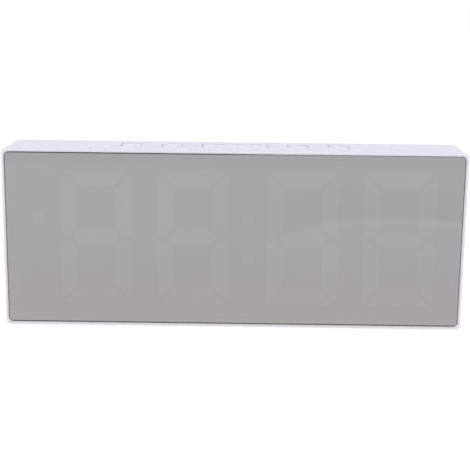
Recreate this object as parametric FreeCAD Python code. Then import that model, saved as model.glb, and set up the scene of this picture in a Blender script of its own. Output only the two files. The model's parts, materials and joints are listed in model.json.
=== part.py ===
"""Digital LED desk clock with a half-mirror front, as separate solids, one STEP file per sub-part.

Millimetres. +X is to the right seen from the front, +Y runs from the mirror to the back, +Z is up.
The origin is under the middle of the clock, on the plane of its four feet.
"""

import FreeCAD
import Part

import math
import os

# Seven-segment digits and the marks beside them
digit_height = 49.2
digit_width = 25.9
stroke = 6.2
segment_gap = 1.0
pair_pitch = 34.6
colon_pitch = 39.7
colon_dot = 4.4
colon_spread = 14.4
display_shift = 4.9

# Reflector block, its mask film and the light parts
reflector_border_x = 1.4
reflector_border_z = 0.8
reflector_depth = 6.4
well_back_share = 0.55
insert_depth = 1.8
mask_thickness = 0.25
mask_overlap = 0.15
mask_gap = 0.3
led_length = 2.0
led_width = 1.2
led_height = 0.8
led_pair_shares = (-0.21, 0.21)
led_middle_share = (0,)
pin_radius = 1.0
pin_proud = 0.6
pin_clearance = 0.1
pin_from_end = 5.5

# Mirror lens and its tape
mirror_margin_x = 7.8
mirror_margin_z = 5.75
lens_thickness = 2.0
lens_recess = 0.25
lens_gap = 0.25
lens_corner_radius = 1.35
lens_edge_chamfer = 0.1
tape_thickness = 0.2
tape_inset = 0.1
tape_width = 2.2
air_gap = 0.5

# Housing shell
rim = 1.0
rim_inner_chamfer = 0.15
wall = 2.0
rear_rim = 1.0
ledge_width = 3.0
ledge_thickness = 1.5
corner_radius = 1.5
cavity_corner_radius = 0.6
front_edge_radius = 0.5
rear_edge_radius = 0.6

# Main board and the bosses that carry it
board_thickness = 1.2
board_side_gap = 1.0
board_top_gap = 1.65
board_boss_radius = 2.4
board_boss_wall_gap = 0.8
board_boss_spread = 28.0
board_screw_radius = 1.1
board_screw_length = 5.8
board_screw_head_radius = 2.0
board_screw_head_height = 1.3
board_hole_clearance = 0.15

# Rear cover, its screws and the housing bosses that take them
cover_thickness = 2.0
cover_recess = 0.2
cover_gap = 0.15
cover_corner_radius = 1.4
cover_lip_gap = 0.2
cover_lip_width = 1.2
cover_lip_height = 1.0
cover_rib_width = 1.0
cover_rib_height = 1.6
cover_rib_reach = 22.0
cover_rib_offsets = (14.0, 26.0)
cover_boss_radius = 3.0
cover_boss_wall_gap = 0.2
cover_boss_drop = 4.0
cover_pad_height = 1.2
cover_screw_radius = 1.3
cover_screw_length = 8.0
cover_screw_head_radius = 2.5
cover_screw_head_height = 1.5
cover_screw_sink = 0.3
screw_head_gap = 0.25
screw_hole_clearance = 0.2
thread_clearance = 0.05
pilot_overdepth = 1.5
boss_web_width = 2.4
driver_slot_width = 0.7
driver_slot_depth = 0.8
boss_notch_gap = 0.5

# Three AAA cells and the bay that holds them
cell_diameter = 10.5
cell_length = 44.5
cell_nub_radius = 1.9
cell_nub_height = 0.9
cell_edge = 0.5
cell_count = 3
cell_gap = 0.4
cell_side_gap = 0.3
cell_floor_gap = 0.25
cell_door_gap = 0.2
bay_floor = 1.0
bay_wall = 2.2
bay_board_gap = 0.4
bay_from_left_wall = 24.9
cradle_width = 3.0
cradle_height = 1.2
cradle_shares = (-0.25, 0.25)

# Cell contacts
contact_thickness = 0.4
contact_width = 7.6
contact_height = 8.0
leaf_reach = 3.9
leaf_width = 4.4
leaf_foot_share = 0.12
leaf_crown_share = 0.16
tail_width = 2.0
tail_length = 2.4
tail_from_door = 5.5

# Battery door
door_ledge = 1.2
door_gap = 0.25
door_recess = 0.05
door_seat_gap = 0.15
door_corner_radius = 1.0
door_tab_width = 5.0
door_tab_spread = 30.0
door_tab_leg = 1.2
door_tab_reach = 1.6
door_tab_thickness = 1.5
door_tab_clearance = 0.2
tab_slot_margin = 0.4
tab_sweep_room = 0.7
latch_width = 12.0
latch_reach = 4.6
latch_thickness = 1.0
latch_depth = 3.6
latch_pad = 1.4
latch_side_gap = 0.4
latch_swing_gap = 0.9
latch_floor_gap = 0.5
latch_pocket_wall = 1.2
door_rib_count = 5
door_rib_width = 0.8
door_rib_pitch = 2.2
door_rib_length = 16.0
door_rib_depth = 0.35
door_rib_from_top = 4.0

# Key caps, sunk in their holes in the top face
key_width = 7.2
key_depth = 9.6
snooze_length = 23.7
key_corner_radius = 2.0
key_hole_corner_radius = 1.2
key_sink = 0.05
key_crown = 0.15
key_edge = 0.3
key_clearance = 0.15
key_from_front = 14.1
inner_key_offset = 22.8
outer_key_offset = 37.7
key_flange = 0.9
key_flange_height = 0.8
key_stem_width = 3.6
key_stem_depth = 1.8
key_stem_length = 1.9
key_travel = 0.3

# Side-push tact switches behind the board's top edge
switch_width = 6.0
switch_depth = 3.5
switch_height = 3.5
plunger_width = 2.8
plunger_depth = 1.4
plunger_proud = 0.8
plunger_inside = 1.0
plunger_clearance = 0.1
plunger_floor_gap = 0.2

# Power jack
jack_from_right_wall = 20.5
jack_below_centre = 17.0
jack_width = 9.0
jack_height = 7.0
jack_nose_radius = 3.1
jack_nose_gap = 0.2
jack_block_gap = 0.3
jack_sink = 0.2
jack_bore_radius = 1.8
jack_bore_depth = 9.0
jack_pin_radius = 0.65
jack_pin_length = 8.0

# Sounder and the holes above it
sounder_from_jack = 24.0
sounder_below_centre = 13.0
sounder_radius = 6.0
sounder_height = 8.5
sounder_port_radius = 1.0
sounder_port_depth = 1.5
sound_hole_radius = 0.7
sound_hole_ring = 3.0
sound_hole_count = 6

# Small parts on the back of the board
chip_from_jack = 40.0
chip_above_centre = 8.0
chip_length = 12.8
chip_width = 7.5
chip_height = 2.2
chip_standoff = 0.1
chip_leads_per_side = 10
chip_lead_pitch = 1.27
chip_lead_width = 0.4
chip_lead_thickness = 0.25
chip_lead_reach = 1.4
chip_lead_foot = 0.7
chip_lead_knee_share = 0.5
capacitor_from_jack = 10.0
capacitor_above_centre = 6.0
capacitor_radius = 3.15
capacitor_height = 7.5
capacitor_edge = 0.4
crystal_from_chip = 16.0
crystal_above_centre = 8.0
crystal_radius = 1.0
crystal_length = 6.0
transistor_count = 5
transistor_from_chip = 4.0
transistor_pitch = 4.4
transistor_below_centre = 14.0
transistor_length = 2.9
transistor_width = 1.3
transistor_height = 1.0
resistor_count = 8
resistor_pitch = 3.4
resistor_above_centre = 17.0
resistor_length = 1.6
resistor_width = 0.8
resistor_height = 0.45

# Leads from the cell contacts to the board
lead_radius = 0.6

# Rubber feet
foot_proud = 0.8
foot_recess = 0.4
foot_radius = 3.5
foot_gap = 0.15
foot_edge = 0.3
foot_from_side = 14.0
foot_from_face = 7.0

# How far every cut runs past the face that it opens, and how near two planes count as one
overrun = 1.0
same_plane = 0.0001

# Sizes worked out from those above
row_half_width = display_shift + colon_pitch / 2 + pair_pitch + digit_width / 2
reflector_width = 2 * (row_half_width + reflector_border_x)
reflector_height = digit_height + 2 * reflector_border_z
mirror_width = reflector_width + 2 * mirror_margin_x
mirror_height = reflector_height + 2 * mirror_margin_z
housing_width = mirror_width + 2 * rim
housing_height = mirror_height + 2 * rim
cavity_width = housing_width - 2 * wall
cavity_height = housing_height - 2 * wall
window_width = mirror_width - 2 * ledge_width
window_height = mirror_height - 2 * ledge_width

lens_stack = lens_recess + lens_thickness + air_gap
display_stack = mask_thickness + reflector_depth + board_thickness
cell_stack = bay_board_gap + bay_floor + cell_floor_gap + cell_diameter + cell_door_gap
door_thickness = cover_thickness - door_recess - door_seat_gap
door_stack = door_thickness + door_recess + cover_recess
housing_depth = lens_stack + display_stack + cell_stack + door_stack

# Planes across the depth
front_y = -housing_depth / 2
lens_front_y = front_y + lens_recess
lens_back_y = lens_front_y + lens_thickness
ledge_front_y = lens_back_y + tape_thickness
ledge_back_y = ledge_front_y + ledge_thickness
mask_front_y = lens_back_y + air_gap
reflector_front_y = mask_front_y + mask_thickness
board_front_y = reflector_front_y + reflector_depth
board_back_y = board_front_y + board_thickness
rear_y = front_y + housing_depth
cover_back_y = rear_y - cover_recess
cover_inner_y = cover_back_y - cover_thickness
pad_y = cover_inner_y - cover_pad_height
door_back_y = cover_back_y - door_recess
door_inner_y = door_back_y - door_thickness
cell_y = door_inner_y - cell_door_gap - cell_diameter / 2
bay_floor_y = cell_y - cell_diameter / 2 - cell_floor_gap
key_y = front_y + key_from_front

# Heights
housing_bottom_z = foot_proud
housing_top_z = housing_bottom_z + housing_height
centre_z = housing_bottom_z + housing_height / 2
inner_top_z = housing_top_z - wall
flange_bottom_z = inner_top_z - key_flange_height
plunger_top_z = flange_bottom_z - key_stem_length
switch_top_z = plunger_top_z - plunger_proud
switch_y = board_back_y + switch_depth / 2

# Board, boss and bay sizes
board_width = cavity_width - 2 * board_side_gap
board_height = cavity_height - 2 * board_top_gap
cover_boss_x = cavity_width / 2 - cover_boss_wall_gap - cover_boss_radius
cover_boss_z = cavity_height / 2 - cover_boss_drop
board_boss_x = cavity_width / 2 - board_boss_wall_gap - board_boss_radius
cell_pitch = cell_diameter + cell_gap
bay_length = cell_length + leaf_reach + 2 * contact_thickness
bay_height = cell_diameter + (cell_count - 1) * cell_pitch + 2 * cell_side_gap
bay_centre_x = -cavity_width / 2 + bay_from_left_wall + bay_length / 2
jack_x = cavity_width / 2 - jack_from_right_wall
sounder_x = jack_x - sounder_from_jack
chip_x = jack_x - chip_from_jack
capacitor_x = jack_x - capacitor_from_jack
crystal_x = chip_x + crystal_from_chip
door_opening_length = bay_length + 2 * door_ledge
door_opening_height = bay_height + 2 * door_ledge
door_hinge_z = centre_z - door_opening_height / 2
door_top_z = centre_z + door_opening_height / 2 - door_gap
latch_top_z = door_top_z + latch_reach
latch_deep_y = door_inner_y - latch_depth
latch_pocket_top_z = latch_top_z + latch_swing_gap
latch_pocket_floor_y = latch_deep_y - latch_floor_gap
latch_pocket_half_width = latch_width / 2 + latch_side_gap

# Keys: name, place along X and length along X
KEYS = (
    ("far_left", -outer_key_offset, key_width),
    ("left", -inner_key_offset, key_width),
    ("snooze", 0, snooze_length),
    ("right", inner_key_offset, key_width),
    ("far_right", outer_key_offset, key_width),
)


def point(x, y, z):
    """A vector."""
    return FreeCAD.Vector(x, y, z)


def block(x0, x1, y0, y1, z0, z1):
    """A box between two corners."""
    return Part.makeBox(x1 - x0, y1 - y0, z1 - z0, point(x0, y0, z0))


def rod_y(radius, x, z, y0, y1):
    """A cylinder along Y."""
    return Part.makeCylinder(radius, y1 - y0, point(x, y0, z), point(0, 1, 0))


def rod_z(radius, x, y, z0, z1):
    """A cylinder along Z."""
    return Part.makeCylinder(radius, z1 - z0, point(x, y, z0), point(0, 0, 1))


def rod_x(radius, y, z, x0, x1):
    """A cylinder along X."""
    return Part.makeCylinder(radius, x1 - x0, point(x0, y, z), point(1, 0, 0))


def prism_y(outline, y0, y1):
    """A prism along Y over a closed outline of (x, z) corners."""
    corners = [point(x, y0, z) for x, z in outline]
    face = Part.Face(Part.makePolygon(corners + corners[:1]))
    return face.extrude(point(0, y1 - y0, 0))


def prism_x(outline, x0, x1):
    """A prism along X over a closed outline of (y, z) corners."""
    corners = [point(x0, y, z) for y, z in outline]
    face = Part.Face(Part.makePolygon(corners + corners[:1]))
    return face.extrude(point(x1 - x0, 0, 0))


def prism_z(outline, z0, z1):
    """A prism along Z over a closed outline of (x, y) corners."""
    corners = [point(x, y, z0) for x, y in outline]
    face = Part.Face(Part.makePolygon(corners + corners[:1]))
    return face.extrude(point(0, 0, z1 - z0))


def rounded_wire(length, width, radius, place):
    """A rounded rectangle; place turns flat (along, across) into a point."""
    a = length / 2
    b = width / 2
    edges = []
    for k in range(4):
        turn = math.radians(90 * k)
        side = (a, b) if k % 2 == 0 else (b, a)
        corner = (side[0] - radius, side[1] - radius)

        def spot(u, w, turn=turn):
            return place(
                u * math.cos(turn) - w * math.sin(turn),
                u * math.sin(turn) + w * math.cos(turn),
            )

        bulge = radius * math.sqrt(0.5)
        edges.append(
            Part.LineSegment(spot(side[0], -corner[1]), spot(side[0], corner[1])).toShape()
        )
        edges.append(
            Part.Arc(
                spot(side[0], corner[1]),
                spot(corner[0] + bulge, corner[1] + bulge),
                spot(corner[0], side[1]),
            ).toShape()
        )
    return Part.Wire(edges)


def plate(length, height, radius, y0, y1, x=0, z=None):
    """A rounded rectangle seen from the front, between two planes of Y."""
    middle = centre_z if z is None else z
    wire = rounded_wire(length, height, radius, lambda u, w: point(x + u, y0, middle + w))
    return Part.Face(wire).extrude(point(0, y1 - y0, 0))


def pad(length, depth, radius, z0, z1, x, y):
    """A rounded rectangle seen from above, between two heights."""
    wire = rounded_wire(length, depth, radius, lambda u, w: point(x + u, y + w, z0))
    return Part.Face(wire).extrude(point(0, 0, z1 - z0))


def edges_on_plane(shape, axis, value):
    """The edges that lie wholly on the plane where that coordinate has that value."""
    found = []
    for edge in shape.Edges:
        box = edge.BoundBox
        low = (box.XMin, box.YMin, box.ZMin)[axis]
        high = (box.XMax, box.YMax, box.ZMax)[axis]
        if abs(low - value) < same_plane and abs(high - value) < same_plane:
            found.append(edge)
    return found


def joined(shapes):
    """All shapes fused into one, with the seams between flush faces removed."""
    return shapes[0].multiFuse(shapes[1:]).removeSplitter()


def save(node, shape):
    """Writes one node and prints what it holds."""
    solids = shape.Solids
    for solid in solids:
        if not solid.isValid() or solid.Volume <= 0:
            raise ValueError(f"{node} has a broken solid")
    out = solids[0] if len(solids) == 1 else Part.makeCompound(solids)
    out.exportStep(os.path.join("parts", node + ".step"))
    print(f"{node}: {len(solids)} solids, {out.Volume:.1f} mm3")


def corners_of(x, z):
    """The four mirror images of a place about the centre of the front view."""
    return [(sx * x, centre_z + sz * z) for sx in (-1, 1) for sz in (-1, 1)]


def cross_slot(x, z, y_face, reach):
    """A cross-shaped driver recess sunk into a screw head whose face looks to the back."""
    half = driver_slot_width / 2
    low = y_face - driver_slot_depth
    high = y_face + overrun
    return block(x - reach, x + reach, low, high, z - half, z + half).fuse(
        block(x - half, x + half, low, high, z - reach, z + reach)
    )


# Segments of one digit

def segment_outlines():
    """The seven outlines of a digit centred on zero, as (x, z) corners: a to g."""
    w = digit_width / 2
    h = digit_height / 2
    s = stroke
    half_gap = segment_gap / 2
    d = half_gap * math.sqrt(2)
    top = [(-w + d, h), (w - d, h), (w - s - d, h - s), (-w + s + d, h - s)]
    middle = [
        (-w + s / 2 + d, 0),
        (-w + s + d, s / 2),
        (w - s - d, s / 2),
        (w - s / 2 - d, 0),
        (w - s - d, -s / 2),
        (-w + s + d, -s / 2),
    ]
    upper_left = [
        (-w, h - d),
        (-w + s, h - s - d),
        (-w + s, s / 2 + d),
        (-w + s / 2 - d + half_gap, half_gap),
        (-w, half_gap),
    ]

    def flip_x(outline):
        return [(-x, z) for x, z in reversed(outline)]

    def flip_z(outline):
        return [(x, -z) for x, z in reversed(outline)]

    return [
        top,
        flip_x(upper_left),
        flip_z(flip_x(upper_left)),
        flip_z(top),
        flip_z(upper_left),
        upper_left,
        middle,
    ]


def square_outline(size):
    """A square centred on zero."""
    a = size / 2
    return [(-a, -a), (a, -a), (a, a), (-a, a)]


def digit_centres():
    """The X places of the four digits, left to right."""
    half = colon_pitch / 2
    offsets = (-half - pair_pitch, -half, half, half + pair_pitch)
    return [display_shift + offset for offset in offsets]


def light_marks():
    """Every lit mark: its group's name, its centre, an outline about that centre and its chips' shares."""
    marks = []
    for number, x in enumerate(digit_centres(), start=1):
        for outline in segment_outlines():
            marks.append((f"digit_{number}_segments", (x, centre_z), outline, led_pair_shares))
    dot = square_outline(colon_dot)
    for sign in (-1, 1):
        place = (display_shift, centre_z + sign * colon_spread / 2)
        marks.append(("colon_dots", place, dot, led_middle_share))
    place = (-row_half_width + colon_dot / 2, centre_z + colon_spread / 2)
    marks.append(("indicator_dot", place, dot, led_middle_share))
    return marks


def middle_of(outline):
    """The middle of an outline's bounding box."""
    xs = [x for x, z in outline]
    zs = [z for x, z in outline]
    return (min(xs) + max(xs)) / 2, (min(zs) + max(zs)) / 2


def span_of(outline):
    """The width and height of an outline's bounding box."""
    xs = [x for x, z in outline]
    zs = [z for x, z in outline]
    return max(xs) - min(xs), max(zs) - min(zs)


def shrunk(outline, share):
    """An outline scaled about the middle of its bounding box."""
    mx, mz = middle_of(outline)
    return [(mx + (x - mx) * share, mz + (z - mz) * share) for x, z in outline]


def grown_hole(outline, growth):
    """An outline scaled so that its narrower side grows by twice that much."""
    return shrunk(outline, 1 + 2 * growth / min(span_of(outline)))


def flat_face(corners):
    """A flat face through a closed ring of corners."""
    return Part.Face(Part.makePolygon(corners + corners[:1]))


def tapered(outline, centre, y0, y1, share):
    """A solid with flat sides from an outline on one plane to the same outline, scaled, on another."""
    mouth = [point(centre[0] + x, y0, centre[1] + z) for x, z in outline]
    back = [point(centre[0] + x, y1, centre[1] + z) for x, z in shrunk(outline, share)]
    faces = [flat_face(mouth), flat_face(back)]
    for k in range(len(outline)):
        faces.append(flat_face([mouth[k - 1], mouth[k], back[k], back[k - 1]]))
    return Part.makeSolid(Part.makeShell(faces))


def make_reflector():
    """A block with a tapered light well under every segment and dot."""
    body = block(
        -reflector_width / 2,
        reflector_width / 2,
        reflector_front_y,
        board_front_y,
        centre_z - reflector_height / 2,
        centre_z + reflector_height / 2,
    )
    wells = [
        tapered(outline, centre, reflector_front_y, board_front_y, well_back_share)
        for name, centre, outline, led_shares in light_marks()
    ]
    pins = [
        rod_y(pin_radius, x, z, board_front_y, board_back_y + pin_proud) for x, z in pin_places()
    ]
    return joined([body.cut(Part.makeCompound(wells))] + pins)


def pin_places():
    """The X and Z places of the two pins that set the reflector on the board."""
    x = reflector_width / 2 - pin_from_end
    z = reflector_height / 2 - pin_from_end
    return [(-x, centre_z - z), (x, centre_z)]


def make_inserts():
    """The milky light inserts that fill the mouths of the wells, by group name."""
    share_there = 1 - (1 - well_back_share) * insert_depth / reflector_depth
    groups = {}
    for name, centre, outline, led_shares in light_marks():
        insert = tapered(
            outline, centre, reflector_front_y, reflector_front_y + insert_depth, share_there
        )
        groups.setdefault(name, []).append(insert)
    return groups


def make_mask():
    """A thin dark film that fills the housing's window, cut out over every segment and dot."""
    film = plate(
        window_width - 2 * mask_gap,
        window_height - 2 * mask_gap,
        lens_corner_radius,
        mask_front_y,
        reflector_front_y,
    )
    windows = []
    for name, centre, outline, led_shares in light_marks():
        smaller = grown_hole(outline, -mask_overlap)
        placed = [(centre[0] + x, centre[1] + z) for x, z in smaller]
        windows.append(prism_y(placed, mask_front_y - overrun, reflector_front_y + overrun))
    return film.cut(Part.makeCompound(windows))


def make_leds():
    """Light-emitting chips on the board's front, two under each segment and one under each dot."""
    chips = []
    for name, centre, outline, led_shares in light_marks():
        mx, mz = middle_of(outline)
        width, height = span_of(outline)
        upright = height > width
        longest = max(width, height) * well_back_share
        for share in led_shares:
            along = share * longest
            x = centre[0] + mx + (0 if upright else along)
            z = centre[1] + mz + (along if upright else 0)
            half_x = (led_width if upright else led_length) / 2
            half_z = (led_length if upright else led_width) / 2
            front = board_front_y - led_height
            chips.append(block(x - half_x, x + half_x, front, board_front_y, z - half_z, z + half_z))
    return Part.makeCompound(chips)


def make_lens():
    """The half-mirror front lens, with a fine chamfer round its front edge."""
    lens = plate(
        mirror_width - 2 * lens_gap,
        mirror_height - 2 * lens_gap,
        lens_corner_radius,
        lens_front_y,
        lens_back_y,
    )
    return lens.makeChamfer(lens_edge_chamfer, edges_on_plane(lens, 1, lens_front_y))


def make_tape():
    """The black tape frame that bonds the lens to the housing's ledge."""
    outer_width = mirror_width - 2 * lens_gap - 2 * tape_inset
    outer_height = mirror_height - 2 * lens_gap - 2 * tape_inset
    frame = plate(outer_width, outer_height, lens_corner_radius, lens_back_y, ledge_front_y)
    window = plate(
        outer_width - 2 * tape_width,
        outer_height - 2 * tape_width,
        lens_corner_radius,
        lens_back_y - overrun,
        ledge_front_y + overrun,
    )
    return frame.cut(window)


def boss_with_web(radius, x, z, y0, y1):
    """A round boss and the web that ties it to the nearest side wall."""
    wall_x = math.copysign(cavity_width / 2 + wall / 2, x)
    web = block(
        min(x, wall_x), max(x, wall_x), y0, y1, z - boss_web_width / 2, z + boss_web_width / 2
    )
    return rod_y(radius, x, z, y0, y1).fuse(web)


def make_housing():
    """The one-piece shell: rim, ledge, walls, screw bosses, key holes and foot recesses."""
    shell = plate(housing_width, housing_height, corner_radius, front_y, rear_y)
    shell = shell.makeFillet(front_edge_radius, edges_on_plane(shell, 1, front_y))
    shell = shell.makeFillet(rear_edge_radius, edges_on_plane(shell, 1, rear_y))
    pocket_radius = lens_corner_radius + lens_gap
    shell = shell.cut(plate(mirror_width, mirror_height, pocket_radius, front_y - overrun, ledge_front_y))
    mouth = plate(
        mirror_width + 2 * rim_inner_chamfer,
        mirror_height + 2 * rim_inner_chamfer,
        pocket_radius + rim_inner_chamfer,
        front_y - overrun,
        front_y + rim_inner_chamfer,
    )
    mouth_floor = edges_on_plane(mouth, 1, front_y + rim_inner_chamfer)
    shell = shell.cut(mouth.makeChamfer(rim_inner_chamfer, mouth_floor))
    window_low_y = ledge_front_y - overrun
    window_high_y = ledge_back_y + overrun
    shell = shell.cut(plate(window_width, window_height, lens_corner_radius, window_low_y, window_high_y))
    shell = shell.cut(
        plate(cavity_width, cavity_height, cavity_corner_radius, ledge_back_y, rear_y + overrun)
    )
    seat_width = housing_width - 2 * rear_rim
    seat_height = housing_height - 2 * rear_rim
    shell = shell.cut(
        plate(seat_width, seat_height, cover_corner_radius + cover_gap, cover_inner_y, rear_y + overrun)
    )

    bosses = [
        boss_with_web(cover_boss_radius, x, z, ledge_back_y, pad_y)
        for x, z in corners_of(cover_boss_x, cover_boss_z)
    ]
    bosses += [
        boss_with_web(board_boss_radius, x, z, ledge_back_y, board_front_y)
        for x, z in corners_of(board_boss_x, board_boss_spread / 2)
    ]
    shell = joined([shell] + bosses)

    cuts = []
    screw_inside = cover_screw_length - (cover_seat_y() - pad_y)
    for x, z in corners_of(cover_boss_x, cover_boss_z):
        bottom = pad_y - screw_inside - pilot_overdepth
        cuts.append(rod_y(cover_screw_radius + thread_clearance, x, z, bottom, pad_y + overrun))
    for x, z in corners_of(board_boss_x, board_boss_spread / 2):
        bottom = board_back_y - board_screw_length - thread_clearance
        cuts.append(rod_y(board_screw_radius + thread_clearance, x, z, bottom, board_front_y + overrun))
    for name, x, length in KEYS:
        cuts.append(
            pad(
                length + 2 * key_clearance,
                key_depth + 2 * key_clearance,
                key_hole_corner_radius,
                inner_top_z - overrun,
                housing_top_z + overrun,
                x,
                key_y,
            )
        )
    for x, y in foot_places():
        cuts.append(
            rod_z(foot_radius + foot_gap, x, y, housing_bottom_z - overrun, housing_bottom_z + foot_recess)
        )
    return shell.cut(Part.makeCompound(cuts))


def foot_places():
    """The X and Y places of the four feet."""
    x = housing_width / 2 - foot_from_side
    y = housing_depth / 2 - foot_from_face
    return [(sx * x, sy * y) for sy in (-1, 1) for sx in (-1, 1)]


def make_foot(x, y):
    """One round rubber foot, seated in its recess, with a softened lower edge."""
    foot = rod_z(foot_radius, x, y, 0, housing_bottom_z + foot_recess)
    return foot.makeChamfer(foot_edge, edges_on_plane(foot, 2, 0))


def make_board():
    """The main board with notched corners round the cover bosses and four screw holes."""
    board = block(
        -board_width / 2,
        board_width / 2,
        board_front_y,
        board_back_y,
        centre_z - board_height / 2,
        centre_z + board_height / 2,
    )
    cuts = []
    reach = cover_boss_radius + boss_notch_gap
    for x, z in corners_of(cover_boss_x, cover_boss_z):
        side = math.copysign(1, x)
        up = math.copysign(1, z - centre_z)
        far_x = side * (board_width / 2 + overrun)
        far_z = centre_z + up * (board_height / 2 + overrun)
        near_x = x - side * reach
        near_z = z - up * reach
        cuts.append(
            block(
                min(near_x, far_x),
                max(near_x, far_x),
                board_front_y - overrun,
                board_back_y + overrun,
                min(near_z, far_z),
                max(near_z, far_z),
            )
        )
    for x, z in corners_of(board_boss_x, board_boss_spread / 2):
        hole = board_screw_radius + board_hole_clearance
        cuts.append(rod_y(hole, x, z, board_front_y - overrun, board_back_y + overrun))
    for x, z in pin_places():
        hole = pin_radius + pin_clearance
        cuts.append(rod_y(hole, x, z, board_front_y - overrun, board_back_y + overrun))
    return board.cut(Part.makeCompound(cuts))


def make_board_screws():
    """Four small pan-head screws through the board into the housing."""
    screws = []
    for x, z in corners_of(board_boss_x, board_boss_spread / 2):
        head_y = board_back_y + board_screw_head_height
        screw = rod_y(board_screw_radius, x, z, board_back_y - board_screw_length, board_back_y)
        screw = screw.fuse(rod_y(board_screw_head_radius, x, z, board_back_y, head_y))
        slot_reach = board_screw_head_radius - driver_slot_width
        screws.append(screw.cut(cross_slot(x, z, head_y, slot_reach)).removeSplitter())
    return Part.makeCompound(screws)


def cover_seat_y():
    """The plane that the cover screws' heads sit on."""
    return cover_back_y - cover_screw_sink - cover_screw_head_height


def make_cover_screws():
    """Four screws that hold the rear cover, sunk in their counterbores."""
    screws = []
    for x, z in corners_of(cover_boss_x, cover_boss_z):
        seat = cover_seat_y()
        face = seat + cover_screw_head_height
        screw = rod_y(cover_screw_radius, x, z, seat - cover_screw_length, seat)
        screw = screw.fuse(rod_y(cover_screw_head_radius, x, z, seat, face))
        slot_reach = cover_screw_head_radius - driver_slot_width
        screws.append(screw.cut(cross_slot(x, z, face, slot_reach)).removeSplitter())
    return Part.makeCompound(screws)


def cell_rows():
    """Each cell's height and the side that its plus end faces, bottom to top."""
    rows = []
    for k in range(cell_count):
        z = centre_z + (k - (cell_count - 1) / 2) * cell_pitch
        rows.append((z, 1 if k % 2 == 0 else -1))
    return rows


def tab_places():
    """The X places of the door's two hinge tabs."""
    return [bay_centre_x + side * door_tab_spread / 2 for side in (-1, 1)]


def make_rear_cover():
    """The cover plate with its cell bay, door opening, screw pads, jack hole and sound holes."""
    cover = plate(
        housing_width - 2 * rear_rim - 2 * cover_gap,
        housing_height - 2 * rear_rim - 2 * cover_gap,
        cover_corner_radius,
        cover_inner_y,
        cover_back_y,
    )
    tub = block(
        bay_centre_x - bay_length / 2 - bay_wall,
        bay_centre_x + bay_length / 2 + bay_wall,
        bay_floor_y - bay_floor,
        cover_inner_y,
        centre_z - bay_height / 2 - bay_wall,
        centre_z + bay_height / 2 + bay_wall,
    )
    latch_box = block(
        bay_centre_x - latch_pocket_half_width - latch_pocket_wall,
        bay_centre_x + latch_pocket_half_width + latch_pocket_wall,
        latch_pocket_floor_y - latch_pocket_wall,
        cover_inner_y,
        centre_z,
        latch_pocket_top_z + latch_pocket_wall,
    )
    pads = [
        rod_y(cover_boss_radius, x, z, pad_y, cover_inner_y)
        for x, z in corners_of(cover_boss_x, cover_boss_z)
    ]
    cover = joined([cover, tub, latch_box, make_cover_lip()] + make_cover_ribs() + pads)
    cuts = [
        block(
            bay_centre_x - bay_length / 2,
            bay_centre_x + bay_length / 2,
            bay_floor_y,
            cover_back_y + overrun,
            centre_z - bay_height / 2,
            centre_z + bay_height / 2,
        ),
        plate(
            door_opening_length,
            door_opening_height,
            door_corner_radius + door_gap,
            cover_inner_y,
            cover_back_y + overrun,
            bay_centre_x,
        ),
        block(
            bay_centre_x - latch_pocket_half_width,
            bay_centre_x + latch_pocket_half_width,
            latch_pocket_floor_y,
            cover_back_y + overrun,
            centre_z,
            latch_pocket_top_z,
        ),
    ]
    slot_half = door_tab_width / 2 + tab_slot_margin
    slot_depth = door_tab_clearance + door_tab_thickness + tab_sweep_room
    for x in tab_places():
        cuts.append(
            block(
                x - slot_half,
                x + slot_half,
                cover_inner_y - slot_depth,
                cover_inner_y,
                centre_z - bay_height / 2 - bay_wall - overrun,
                centre_z - bay_height / 2 + overrun,
            )
        )
    for x, z, side in tail_places():
        half = tail_width / 2 + contact_thickness / 2
        wall_low = bay_centre_x + side * bay_length / 2
        wall_high = wall_low + side * (bay_wall + overrun)
        cuts.append(
            block(
                min(wall_low - side * overrun, wall_high),
                max(wall_low - side * overrun, wall_high),
                tail_y() - contact_thickness / 2,
                tail_y() + contact_thickness / 2,
                z - half,
                z + half,
            )
        )
    seat = cover_seat_y()
    for x, z in corners_of(cover_boss_x, cover_boss_z):
        cuts.append(rod_y(cover_screw_radius + screw_hole_clearance, x, z, pad_y - overrun, seat + overrun))
        cuts.append(rod_y(cover_screw_head_radius + screw_head_gap, x, z, seat, cover_back_y + overrun))
    cuts.append(
        rod_y(
            jack_nose_radius + jack_nose_gap,
            jack_x,
            centre_z - jack_below_centre,
            cover_inner_y - overrun,
            cover_back_y + overrun,
        )
    )
    for x, z in sound_holes():
        cuts.append(rod_y(sound_hole_radius, x, z, cover_inner_y - overrun, cover_back_y + overrun))
    cover = cover.cut(Part.makeCompound(cuts))
    return joined([cover] + make_cradles())


def make_cover_lip():
    """A low rim inside the cover that centres it in the housing."""
    length = cavity_width - 2 * cover_lip_gap
    height = cavity_height - 2 * cover_lip_gap
    radius = cavity_corner_radius
    low_y = cover_inner_y - cover_lip_height
    lip = plate(length, height, radius, low_y, cover_inner_y)
    inside = plate(
        length - 2 * cover_lip_width,
        height - 2 * cover_lip_width,
        radius,
        low_y - overrun,
        cover_inner_y + overrun,
    )
    return lip.cut(inside)


def make_cover_ribs():
    """Upright stiffening ribs inside the cover, beside the cell bay and between the bay and the jack."""
    ribs = []
    places = [bay_centre_x - bay_length / 2 - cover_rib_offsets[0]]
    places += [bay_centre_x + bay_length / 2 + offset for offset in cover_rib_offsets]
    for x in places:
        ribs.append(
            block(
                x - cover_rib_width / 2,
                x + cover_rib_width / 2,
                cover_inner_y - cover_rib_height,
                cover_inner_y,
                centre_z - cover_rib_reach,
                centre_z + cover_rib_reach,
            )
        )
    return ribs


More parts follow.
